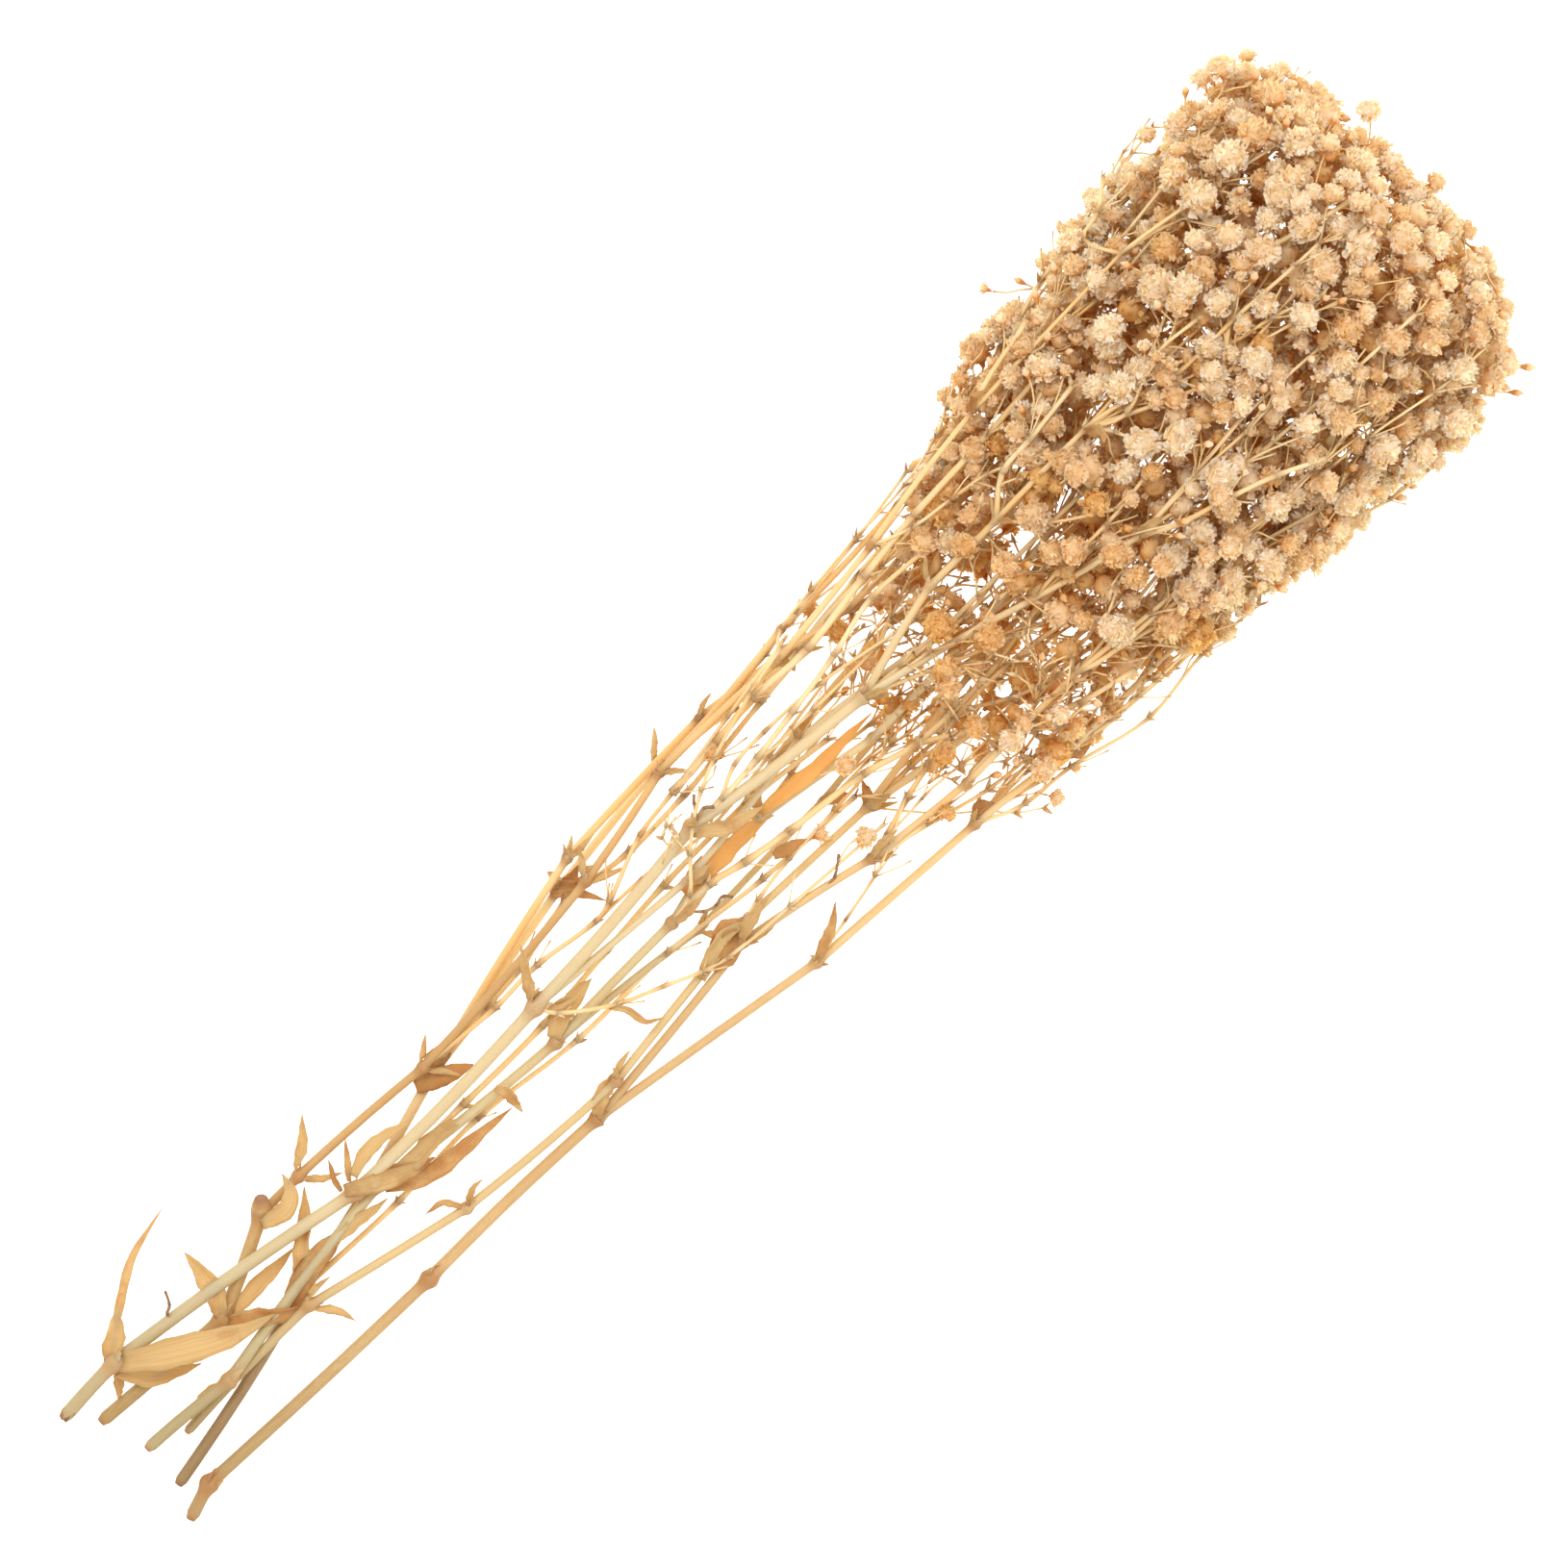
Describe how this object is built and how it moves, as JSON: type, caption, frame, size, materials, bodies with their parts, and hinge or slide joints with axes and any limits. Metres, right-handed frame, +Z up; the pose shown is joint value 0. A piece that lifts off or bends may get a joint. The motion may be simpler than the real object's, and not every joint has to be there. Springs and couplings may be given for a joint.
{
  "type": "dried baby's breath bouquet",
  "caption": "Loose bunch of dried baby's breath that lies on a surface: bare jointed stems with dry leaves that branch into an open head of small double flowers.",
  "frame": {"origin": "bottom centre of the box round the bunch as it lies, on the surface it rests on", "axes": "+X along the bunch from the cut stem ends to the tip of the head, +Y across it, +Z up"},
  "size_m": [0.5493, 0.1325, 0.0932],
  "materials": {
    "pale_stem": "dry, matt straw-coloured stem with fine lengthwise ribs",
    "golden_stem": "dry, matt straw-coloured stem with fine lengthwise ribs",
    "straw_stem": "dry, matt straw-coloured stem with fine lengthwise ribs",
    "grey_brown_stem": "dry, matt straw-coloured stem with fine lengthwise ribs",
    "thin_golden_stem": "dry, matt straw-coloured stem with fine lengthwise ribs",
    "orange_stem": "dry, matt straw-coloured stem with fine lengthwise ribs",
    "petals": "dry, papery cream petals, matt and thin",
    "dry_leaves": "dry, brittle brown leaf, matt with a lengthwise rib"
  },
  "bodies": {
    "root": {"flowering_stem_1": "pale_stem", "flowering_stem_2": "golden_stem", "flowering_stem_3": "straw_stem", "flowering_stem_4": "grey_brown_stem", "flowering_stem_5": "thin_golden_stem", "flowering_stem_6": "orange_stem"}
  },
  "joints": []
}
